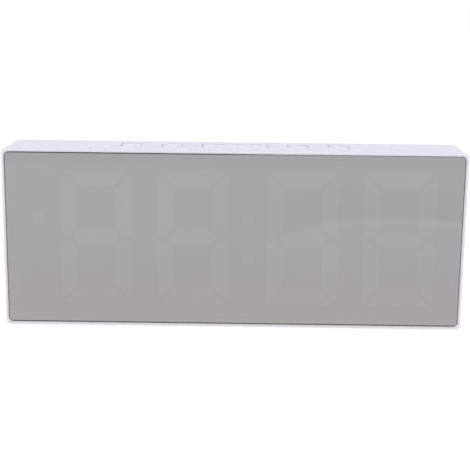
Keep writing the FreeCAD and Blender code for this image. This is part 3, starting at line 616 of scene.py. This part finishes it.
@dataclass(frozen=True)
class CellJacket:
    """A battery cell: a printed sleeve with a coppery band at its plus end, and bare steel ends."""

    sleeve: Colour
    band: Colour
    steel: Colour
    plus_right: bool
    node: str
    nub_height: float = 0.9 * MM
    lip: float = 0.55 * MM
    band_length: float = 12 * MM
    sleeve_metallic: float = 0.4
    roughness: float = 0.28
    sheen_spread: float = 0.06
    crinkle_size: float = 3 * MM
    crinkle_depth: float = 0.02 * MM
    crinkle_stretch: Point = (0.3, 1.0, 1.0)

    def material(self, name: str) -> Material:
        """Builds the material under that name.

        Args:
            name: the material's name.

        Returns:
            The material.
        """
        graph = Graph(name)
        low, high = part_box(self.node)
        plus, minus = self.nub_height + self.lip, self.lip
        if self.plus_right:
            start, end = low.x + minus, high.x - plus
            band = graph.between(Axis.ACROSS, end - self.band_length, end)
        else:
            start, end = low.x + plus, high.x - minus
            band = graph.between(Axis.ACROSS, start, start + self.band_length)
        sleeve = graph.between(Axis.ACROSS, start, end)
        printed = graph.mix(band, self.sleeve, self.band)
        graph.feed("Base Color", graph.mix(sleeve, self.steel, printed))
        dulled = graph.math(Sum.MULTIPLY, sleeve, 1 - self.sleeve_metallic)
        graph.feed("Metallic", graph.rest_of(dulled))
        crinkle = graph.pattern(Pattern.NOISE, self.crinkle_size, stretch=self.crinkle_stretch)
        graph.relief(crinkle, self.crinkle_depth)
        graph.sheen(crinkle, self.roughness, self.sheen_spread)
        return graph.material


@dataclass
class Bench:
    """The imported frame, and the calls that dress its solids and add new pieces to it."""

    frame: dict

    def dress(self, slot: Slot, finish: Finish) -> Material:
        """Gives every solid of a material slot its finish.

        Args:
            slot: the record's material slot.
            finish: the finish for it.

        Returns:
            The finish's material.
        """
        material = finish.material(slot.value)
        for part in self.frame["record"]["subparts"]:
            if part["material_slot"] == slot.value:
                self.assign(part["node"], material)
        return material

    def assign(self, name: str, material: Material) -> None:
        """Gives one solid its material.

        Args:
            name: the solid's node.
            material: its material.
        """
        node = self.frame["nodes"][name]
        node.data.materials.clear()
        node.data.materials.append(material)
        LOG.info("dressed %s with %s", name, material.name)

    def add(
        self, name: str, shape: bmesh.types.BMesh, body: Body, slot: Slot, material: Material
    ) -> None:
        """Makes an object of a finished shape, and lets it ride on a body.

        Args:
            name: the piece's name.
            shape: the piece's shape, which is used up.
            body: the body that it moves with.
            slot: not used.
            material: its material.
        """
        bmesh.ops.recalc_face_normals(shape, faces=shape.faces)
        mesh = bpy.data.meshes.new(name)
        shape.to_mesh(mesh)
        shape.free()
        mesh.materials.append(material)
        piece = bpy.data.objects.new(name, mesh)
        bpy.context.scene.collection.objects.link(piece)
        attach(piece, body.value)
        LOG.info("added %s on %s", name, body.value)


class SubAssembly(Protocol):
    """A sub-assembly of the clock, which can build itself."""

    def build(self, bench: Bench) -> None:
        """Gives its pieces their finishes, and adds what only the scene has."""


@dataclass
class ReliefMark:
    """Small raised marks on a face that looks backwards, gathered in one mesh."""

    face_y: float
    height: float
    root: float = 0.05 * MM
    soft_share: float = 0.4
    soft_steps: int = 2
    dot_steps: int = 32
    ring_steps: int = 40
    shape: bmesh.types.BMesh = field(default_factory=bmesh.new)

    def raise_faces(self, faces: list[bmesh.types.BMFace]) -> None:
        """Raises flat faces from under the carrying face to the mark's height, with soft edges.

        Args:
            faces: the flat faces, which lie under the carrying face.
        """
        made = bmesh.ops.extrude_face_region(self.shape, geom=faces)["geom"]
        top = [item for item in made if isinstance(item, bmesh.types.BMVert)]
        depth = self.height + self.root
        bmesh.ops.translate(self.shape, verts=top, vec=(0, depth, 0))
        edges = [item for item in made if isinstance(item, bmesh.types.BMEdge)]
        rim = [edge for edge in edges if any(face not in made for face in edge.link_faces)]
        bmesh.ops.bevel(
            self.shape,
            geom=rim,
            offset=self.soft_share * self.height,
            segments=self.soft_steps,
            profile=ROUND_PROFILE,
            affect="EDGES",
            material=-1,
        )

    def raise_new(self, made: dict[str, list[bmesh.types.BMVert]]) -> None:
        """Raises the flat faces that an operator has just made."""
        self.raise_faces(list({face for vert in made["verts"] for face in vert.link_faces}))

    def stand(self, across: float, up: float) -> Matrix:
        """The matrix that stands a flat shape up on the carrying face, facing backwards."""
        turn = Matrix.Rotation(math.radians(RIGHT_ANGLE_DEG), 4, "X")
        return Matrix.Translation((across, self.face_y - self.root, up)) @ turn

    def bar(self, across: float, up: float, length: float, height: float) -> None:
        """Adds a bar, by its middle and its sizes.

        Args:
            across: its middle's place across.
            up: its middle's place up.
            length: how long it is.
            height: how high it is.
        """
        matrix = self.stand(across, up) @ Matrix.Diagonal((length, height, 1, 1))
        made = bmesh.ops.create_grid(
            self.shape, x_segments=1, y_segments=1, size=UNIT_HALF, matrix=matrix
        )
        self.raise_new(made)

    def dot(self, across: float, up: float, radius: float) -> None:
        """Adds a round dot.

        Args:
            across: its middle's place across.
            up: its middle's place up.
            radius: its radius.
        """
        matrix = self.stand(across, up)
        made = bmesh.ops.create_circle(
            self.shape, cap_ends=True, segments=self.dot_steps, radius=radius, matrix=matrix
        )
        self.raise_new(made)

    def ring(
        self,
        across: float,
        up: float,
        radius: float,
        width: float,
        start: float = 0.0,
        turn: float = math.tau,
    ) -> None:
        """Adds a ring or a part of one.

        Args:
            across: its middle's place across.
            up: its middle's place up.
            radius: the radius of its middle line.
            width: the width of its line.
            start: where it starts, in radians.
            turn: how far it goes round, in radians.
        """
        before = set(self.shape.faces)
        first = self.shape.verts.new((radius - width / 2, 0, 0))
        second = self.shape.verts.new((radius + width / 2, 0, 0))
        edge = self.shape.edges.new((first, second))
        turned = Matrix.Rotation(start, 3, "Z")
        bmesh.ops.rotate(self.shape, verts=[first, second], cent=(0, 0, 0), matrix=turned)
        bmesh.ops.spin(
            self.shape,
            geom=[first, second, edge],
            cent=(0, 0, 0),
            axis=(0, 0, 1),
            angle=turn,
            steps=self.ring_steps,
            use_merge=math.isclose(turn, math.tau),
        )
        faces = [face for face in self.shape.faces if face not in before]
        verts = list({vert for face in faces for vert in face.verts})
        bmesh.ops.transform(self.shape, matrix=self.stand(across, up), verts=verts)
        self.raise_faces(faces)

    def arrow(self, across: float, up: float, width: float, height: float) -> None:
        """Adds an arrow head that points up.

        Args:
            across: its middle's place across.
            up: its middle's place up.
            width: how wide the circle round it is.
            height: how high the circle round it is.
        """
        matrix = self.stand(across, up) @ Matrix.Diagonal((width, height, 1, 1))
        made = bmesh.ops.create_circle(
            self.shape, cap_ends=True, segments=ARROW_CORNERS, radius=UNIT_HALF, matrix=matrix
        )
        self.raise_new(made)


@dataclass
class Housing:
    """The white shell."""

    finish: MouldedPlastic = MouldedPlastic((0.85, 0.836, 0.896), roughness=0.32, scatter=1.0)

    def build(self, bench: Bench) -> None:
        """Gives the shell its finish."""
        bench.dress(Slot.WHITE_PLASTIC, self.finish)


@dataclass
class MirrorFront:
    """The half-mirror lens and the black tape that holds it in the shell's rim."""

    lens: HalfMirror = HalfMirror((0.431, 0.412, 0.415))
    tape: Rubber = Rubber((0.02, 0.02, 0.02), roughness=0.9)

    def build(self, bench: Bench) -> None:
        """Gives the lens and its tape their finishes."""
        bench.dress(Slot.HALF_MIRROR, self.lens)
        bench.dress(Slot.BLACK_TAPE, self.tape)


@dataclass
class Display:
    """The digits behind the lens: dark film, white reflector, milky segments and chips."""

    film: MouldedPlastic = MouldedPlastic((0.06, 0.06, 0.06), roughness=0.6)
    reflector: MouldedPlastic = MouldedPlastic((0.85, 0.85, 0.85), roughness=0.5)
    inserts: MilkyResin = MilkyResin((0.82, 0.82, 0.80))
    chips: MilkyResin = MilkyResin((0.75, 0.65, 0.25), cloud_size=1 * MM)

    def build(self, bench: Bench) -> None:
        """Gives the display's layers their finishes.

        Args:
            bench: the frame's bench.
        """
        bench.dress(Slot.DARK_FILM, self.film)
        bench.dress(Slot.REFLECTOR, self.reflector)
        bench.dress(Slot.LIGHT_INSERT, self.inserts)
        bench.dress(Slot.LED_BODY, self.chips)


@dataclass
class Board:
    """The circuit board with its parts, the sounder, the key switches and the power inlet."""

    laminate: CircuitBoard = CircuitBoard((0.015, 0.10, 0.04), (0.03, 0.16, 0.07))
    resin: MouldedPlastic = MouldedPlastic((0.02, 0.02, 0.02), roughness=0.5)
    tin: Metal = Metal((0.72, 0.72, 0.73), roughness=0.25)
    can: Metal = Metal((0.68, 0.68, 0.70), roughness=0.35)
    black: MouldedPlastic = MouldedPlastic((0.025, 0.025, 0.027), roughness=0.4)
    plungers: MouldedPlastic = MouldedPlastic((0.60, 0.60, 0.58), roughness=0.4)
    screws: Metal = Metal((0.60, 0.60, 0.61), roughness=0.3)

    def build(self, bench: Bench) -> None:
        """Gives the board and what it carries their finishes.

        Args:
            bench: the frame's bench.
        """
        bench.dress(Slot.CIRCUIT_BOARD, self.laminate)
        bench.dress(Slot.BLACK_RESIN, self.resin)
        bench.dress(Slot.TINNED_METAL, self.tin)
        bench.dress(Slot.CAPACITOR_CAN, self.can)
        bench.dress(Slot.BLACK_PLASTIC, self.black)
        bench.dress(Slot.PLUNGER_PLASTIC, self.plungers)
        bench.dress(Slot.SCREW_STEEL, self.screws)


@dataclass
class Keys:
    """The five keys that lie flush in the shell's top."""

    finish: MouldedPlastic = MouldedPlastic(
        (0.865, 0.851, 0.901), roughness=0.28, grain_depth=0.003 * MM, scatter=1.0
    )

    def build(self, bench: Bench) -> None:
        """Gives the key caps their finish."""
        bench.dress(Slot.KEY_PLASTIC, self.finish)


@dataclass
class RearCover:
    """The rear cover, with a raised polarity mark by its inlet and an arrow on its battery door."""

    finish: MouldedPlastic = MouldedPlastic(
        (0.795, 0.785, 0.815), roughness=0.5, grain_depth=0.01 * MM
    )
    mark_height: float = 0.18 * MM
    line: float = 0.5 * MM
    mark_below_inlet: float = 7.4 * MM
    mark_pitch: float = 5.4 * MM
    ring_radius: float = 1.4 * MM
    open_ring_start_deg: float = 40
    open_ring_turn_deg: float = 280
    dot_radius: float = 0.55 * MM
    arrow_size: float = 5.0 * MM
    arrow_below_top: float = 23.5 * MM

    def build(self, bench: Bench) -> None:
        """Gives the cover and the door their finish, and adds the raised marks.

        Args:
            bench: the frame's bench.
        """
        material = bench.dress(Slot.COVER_PLASTIC, self.finish)
        self.add_polarity_mark(bench, material)
        self.add_door_arrow(bench, material)

    def add_polarity_mark(self, bench: Bench, material: Material) -> None:
        """Adds the mark of an inlet with its plus pole in the middle, seen from behind.

        Args:
            bench: the frame's bench.
            material: the cover's material.
        """
        low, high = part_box("power_jack")
        middle = (low.x + high.x) / 2
        level = (low.z + high.z) / 2 - self.mark_below_inlet
        mark = ReliefMark(self.outer_face(), self.mark_height)
        mark.dot(middle, level, self.dot_radius)
        start, turn = math.radians(self.open_ring_start_deg), math.radians(self.open_ring_turn_deg)
        mark.ring(middle, level, self.ring_radius, self.line, start, turn)
        for side in (-1, 1):
            reach = self.mark_pitch - 2 * self.ring_radius
            link = middle + side * (self.ring_radius + reach / 2)
            mark.bar(link, level, reach, self.line)
            mark.ring(middle + side * self.mark_pitch, level, self.ring_radius, self.line)
        bench.add("inlet_polarity_mark", mark.shape, Body.CLOCK, Slot.COVER_PLASTIC, material)

    def outer_face(self) -> float:
        """The cover's outer face, in metres."""
        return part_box("rear_cover")[1].y

    def add_door_arrow(self, bench: Bench, material: Material) -> None:
        """Adds the raised arrow head that shows where the battery door opens.

        Args:
            bench: the frame's bench.
            material: the door's material.
        """
        low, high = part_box("battery_door")
        middle, level = (low.x + high.x) / 2, high.z - self.arrow_below_top
        mark = ReliefMark(high.y, self.mark_height)
        mark.arrow(middle, level, self.arrow_size, self.arrow_size)
        bench.add("battery_door_arrow", mark.shape, Body.DOOR, Slot.COVER_PLASTIC, material)


@dataclass
class BatteryBay:
    """The three cells, their contacts and their leads."""

    contacts: Metal = Metal((0.68, 0.65, 0.60), roughness=0.22)
    plus_lead: Rubber = Rubber((0.45, 0.02, 0.02), roughness=0.5)
    minus_lead: Rubber = Rubber((0.02, 0.02, 0.02), roughness=0.5)
    sleeve: Colour = (0.03, 0.035, 0.045)
    band: Colour = (0.55, 0.27, 0.12)
    steel: Colour = (0.66, 0.65, 0.63)

    def build(self, bench: Bench) -> None:
        """Gives the cells, contacts and leads their finishes.

        Args:
            bench: the frame's bench.
        """
        bench.dress(Slot.NICKEL, self.contacts)
        bench.dress(Slot.RED_LEAD, self.plus_lead)
        bench.dress(Slot.BLACK_LEAD, self.minus_lead)
        for number, plus_right in enumerate((True, False, True), start=1):
            node = f"battery_cell_{number}"
            jacket = CellJacket(self.sleeve, self.band, self.steel, plus_right, node)
            bench.assign(node, jacket.material(f"cell_jacket_{number}"))


@dataclass
class Feet:
    """The four rubber feet."""

    finish: Rubber = Rubber((0.25, 0.25, 0.26))

    def build(self, bench: Bench) -> None:
        """Gives the feet their finish."""
        bench.dress(Slot.FOOT_RUBBER, self.finish)


@dataclass
class Studio:
    """A white floor and surroundings with soft light from above and in front."""

    floor_half: float = 3.0
    floor_colour: Colour = (0.61, 0.60, 0.55)
    floor_glow_colour: Colour = (1.0, 0.98, 0.90)
    floor_glow: float = 0.3
    seen_floor_colour: Colour = (0.25, 0.25, 0.25)
    seen_floor_glow: float = 0.83
    near_tint: Colour = (1.0, 0.982, 0.955)
    far_tint: Colour = (0.998, 1.003, 1.007)
    tint_back: Range = (-170 * MM, -40 * MM)
    # a painted pool of light: the glow rises by this share on the floor just in front of the clock
    near_painted_light: float = 0.07
    near_end: float = -18 * MM
    near_fade: float = 20 * MM
    # a painted shadow: the glow drops by this share on a band of floor far in front, from under the
    # camera on
    far_painted_shade: float = 0.06
    far_start: float = -392 * MM
    far_fade: float = 26 * MM
    far_end: float = -450 * MM
    far_end_fade: float = 52 * MM
    # a painted shadow with a curved near edge on the floor, and a painted highlight along this side
    # of it
    shadow_arc_middle: Point = (0.088, -0.160, 0.0)
    shadow_arc_radius: float = 60 * MM
    shadow_arc_width: float = 2.5 * MM
    shadow_arc_dim: float = 0.06
    shadow_arc_dim_fade: float = 130 * MM
    shadow_arc_highlight: float = 0.045
    shadow_arc_highlight_fade: float = 25 * MM
    shadow_arc_side: Range = (-5 * MM, 50 * MM)
    shadow_arc_back: Range = (-200 * MM, -170 * MM)
    sky_colour: Colour = (0.975, 0.993, 1.15)
    sky_strength: float = 0.74
    lamp_colour: Colour = (1.0, 0.98, 0.93)
    lamp_size: float = 1.4
    lamp_power: float = 5.0
    lamp_place: Point = (-0.35, -1.1, 0.9)

    def build(self) -> None:
        """Makes the floor, the surroundings and the lamp."""
        self.make_floor()
        self.make_sky()
        self.make_lamp()
        LOG.info("built the floor, the surroundings and the lamp")

    def seen(self, tree: Tree) -> Socket:
        """A value of 1 for camera, glossy and transmission rays, and 0 for the rest.

        Args:
            tree: the tree that the nodes go into.

        Returns:
            The value.
        """
        path = tree.nodes.new("ShaderNodeLightPath")
        value = path.outputs["Is Camera Ray"]
        for name in ("Is Glossy Ray", "Is Transmission Ray"):
            either = tree.nodes.new("ShaderNodeMath")
            either.operation = Sum.LARGER.value
            tree.links.new(value, either.inputs[0])
            tree.links.new(path.outputs[name], either.inputs[1])
            value = either.outputs["Value"]
        return value

    def diffuse(self, tree: Tree, colour: Colour) -> Socket:
        """A matt surface of that colour.

        Args:
            tree: the tree that the nodes go into.
            colour: the surface's colour.

        Returns:
            The surface.
        """
        node = tree.nodes.new("ShaderNodeBsdfDiffuse")
        node.inputs["Color"].default_value = (*colour, 1)
        return node.outputs["BSDF"]

    def glowing(self, tree: Tree, colour: Colour, glow: bpy.types.Node) -> Socket:
        """A matt surface of that colour with a glow added to it.

        Args:
            tree: the tree that the nodes go into.
            colour: the matt surface's colour.
            glow: the glow's node.

        Returns:
            The surface.
        """
        both = tree.nodes.new("ShaderNodeAddShader")
        tree.links.new(self.diffuse(tree, colour), both.inputs[0])
        tree.links.new(glow.outputs["Emission"], both.inputs[1])
        return both.outputs["Shader"]

    def lit_floor(self, tree: Tree) -> Socket:
        """The floor as it lights the clock from below: matt, with a soft glow of its own.

        Args:
            tree: the tree that the nodes go into.

        Returns:
            The surface.
        """
        glow = tree.nodes.new("ShaderNodeEmission")
        glow.inputs["Color"].default_value = (*self.floor_glow_colour, 1)
        glow.inputs["Strength"].default_value = self.floor_glow
        return self.glowing(tree, self.floor_colour, glow)

    def seen_floor(self, tree: Tree) -> Socket:
        """The floor as it is seen: a darker matt, with a white glow that carries faint painted
        light and shadows.

        Args:
            tree: the tree that the nodes go into.

        Returns:
            The surface.
        """
        glow = tree.nodes.new("ShaderNodeEmission")
        nodes = Nodes(tree)
        share = nodes.remap(nodes.along(Axis.BACK), *self.tint_back, 0, 1)
        tree.links.new(nodes.mix(share, self.far_tint, self.near_tint), glow.inputs["Color"])
        tree.links.new(self.glow_strength(nodes), glow.inputs["Strength"])
        return self.glowing(tree, self.seen_floor_colour, glow)

    def glow_strength(self, nodes: Nodes) -> Socket:
        """The floor's glow, with faint painted light and shadows in front of the clock that the
        mirror shows.

        Args:
            nodes: the floor's nodes.

        Returns:
            The strength.
        """
        back = nodes.along(Axis.BACK)
        # painted pool of light on the floor just in front of the clock
        near = nodes.remap(back, self.near_end - self.near_fade, self.near_end, 0, self.near_painted_light)
        # painted shadow band on the floor far in front, which ends again past far_end
        far = nodes.remap(back, self.far_start - self.far_fade, self.far_start, -self.far_painted_shade, 0)
        past = nodes.remap(back, self.far_end - self.far_end_fade, self.far_end, self.far_painted_shade, 0)
        band = nodes.math(Sum.ADD, far, past)
        share = nodes.math(Sum.ADD, nodes.math(Sum.ADD, near, band), self.shadow_arc(nodes))
        return nodes.math(Sum.MULTIPLY, nodes.math(Sum.ADD, share, 1.0), self.seen_floor_glow)

    def shadow_arc(self, nodes: Nodes) -> Socket:
        """A painted shadow on the floor with a curved edge, and a painted highlight this side of
        the edge.

        Args:
            nodes: the floor's nodes.

        Returns:
            The share by which the glow changes.
        """
        away = nodes.away_from(self.shadow_arc_middle)
        inner, outer = self.shadow_arc_radius, self.shadow_arc_radius + self.shadow_arc_width
        beyond = nodes.remap(away, inner, outer, 0, 1)
        dim = nodes.remap(away, outer, outer + self.shadow_arc_dim_fade, -self.shadow_arc_dim, 0)
        rim = nodes.remap(away, inner - self.shadow_arc_highlight_fade, inner, 0, self.shadow_arc_highlight)
        # beyond the curved edge the glow drops (painted shadow); just this side it rises (painted
        # highlight)
        dark = nodes.math(Sum.MULTIPLY, beyond, dim)
        light = nodes.math(Sum.SUBTRACT, rim, nodes.math(Sum.MULTIPLY, rim, beyond))
        side = nodes.remap(nodes.along(Axis.ACROSS), *self.shadow_arc_side, 0, 1)
        back = nodes.remap(nodes.along(Axis.BACK), *self.shadow_arc_back, 1, 0)
        where = nodes.math(Sum.MULTIPLY, side, back)
        return nodes.math(Sum.MULTIPLY, nodes.math(Sum.ADD, dark, light), where)

    def make_floor(self) -> None:
        """Makes the floor, which shows one surface to the eye and lights the clock with another."""
        mesh = bpy.data.meshes.new("floor")
        shape = bmesh.new()
        bmesh.ops.create_grid(shape, x_segments=1, y_segments=1, size=self.floor_half)
        shape.to_mesh(mesh)
        shape.free()
        floor = bpy.data.objects.new("floor", mesh)
        bpy.context.scene.collection.objects.link(floor)
        material = bpy.data.materials.new("floor")
        material.use_nodes = True
        tree = material.node_tree
        tree.nodes.clear()
        output = tree.nodes.new("ShaderNodeOutputMaterial")
        mix = tree.nodes.new("ShaderNodeMixShader")
        tree.links.new(self.seen(tree), mix.inputs[0])
        tree.links.new(self.lit_floor(tree), mix.inputs[1])
        tree.links.new(self.seen_floor(tree), mix.inputs[2])
        tree.links.new(mix.outputs["Shader"], output.inputs["Surface"])
        mesh.materials.append(material)
        floor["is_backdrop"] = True

    def make_sky(self) -> None:
        """Makes white surroundings: plain white where seen, a little softer as a light."""
        world = bpy.data.worlds.new("studio")
        bpy.context.scene.world = world
        world.use_nodes = True
        tree = world.node_tree
        tree.nodes.clear()
        output = tree.nodes.new("ShaderNodeOutputWorld")
        mix = tree.nodes.new("ShaderNodeMixShader")
        tree.links.new(self.seen(tree), mix.inputs[0])
        skies = ((self.sky_colour, self.sky_strength), (WHITE, 1.0))
        for place, (colour, strength) in enumerate(skies, start=1):
            light = tree.nodes.new("ShaderNodeBackground")
            light.inputs["Color"].default_value = (*colour, 1)
            light.inputs["Strength"].default_value = strength
            tree.links.new(light.outputs["Background"], mix.inputs[place])
        tree.links.new(mix.outputs["Shader"], output.inputs["Surface"])

    def make_lamp(self) -> None:
        """Makes one large soft lamp above and in front of the clock."""
        data = bpy.data.lights.new("soft_lamp", "AREA")
        data.shape = "SQUARE"
        data.size = self.lamp_size
        data.energy = self.lamp_power
        data.color = self.lamp_colour
        lamp = bpy.data.objects.new("soft_lamp", data)
        bpy.context.scene.collection.objects.link(lamp)
        lamp.location = self.lamp_place
        lamp.rotation_mode = "QUATERNION"
        lamp.rotation_quaternion = (-Vector(self.lamp_place)).to_track_quat("-Z", "Y")


@dataclass
class PhotoCamera:
    """The camera that took the photograph, as a fit to the lens and the shell gives it."""

    lens_mm: float = 84.41
    sensor_mm: float = 36.0
    beside_middle: float = 3.19 * MM
    ahead_of_rim: float = 384.41 * MM
    above_middle: float = 86.16 * MM
    turn_deg: float = 0.416
    pitch_deg: float = 12.341
    roll_deg: float = 0.64
    clip_start: float = 10 * MM

    def build(self) -> None:
        """Makes the camera and sets it as the scene's."""
        low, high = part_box("housing")
        middle_z = (low.z + high.z) / 2
        data = bpy.data.cameras.new("photo_camera")
        data.lens = self.lens_mm
        data.sensor_width = self.sensor_mm
        data.clip_start = self.clip_start
        camera = bpy.data.objects.new("photo_camera", data)
        bpy.context.scene.collection.objects.link(camera)
        ahead, above = low.y - self.ahead_of_rim, middle_z + self.above_middle
        place = Vector((self.beside_middle, ahead, above))
        turn = Matrix.Rotation(math.radians(self.turn_deg), 4, "Z")
        tilt = Matrix.Rotation(math.radians(RIGHT_ANGLE_DEG - self.pitch_deg), 4, "X")
        roll = Matrix.Rotation(math.radians(self.roll_deg), 4, "Z")
        camera.matrix_world = Matrix.Translation(place) @ turn @ tilt @ roll
        bpy.context.scene.camera = camera
        LOG.info("built the camera")


def main() -> list[list[float]]:
    """Loads the frame, finishes the clock, and builds the studio and the camera.

    Returns:
        The lowest and highest corner of the solids' box.
    """
    logging.basicConfig(level=logging.INFO)
    bench = Bench(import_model())
    cad_box = [list(corner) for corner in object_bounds()]
    front: tuple[SubAssembly, ...] = (Housing(), MirrorFront(), Display(), Board(), Keys())
    rear: tuple[SubAssembly, ...] = (RearCover(), BatteryBay(), Feet())
    for part in front + rear:
        part.build(bench)
        LOG.info("built %s", type(part).__name__)
    Studio().build()
    PhotoCamera().build()
    bpy.context.scene.view_settings.view_transform = "Standard"
    return cad_box


if __name__ == "__main__":
    solid_box = main()
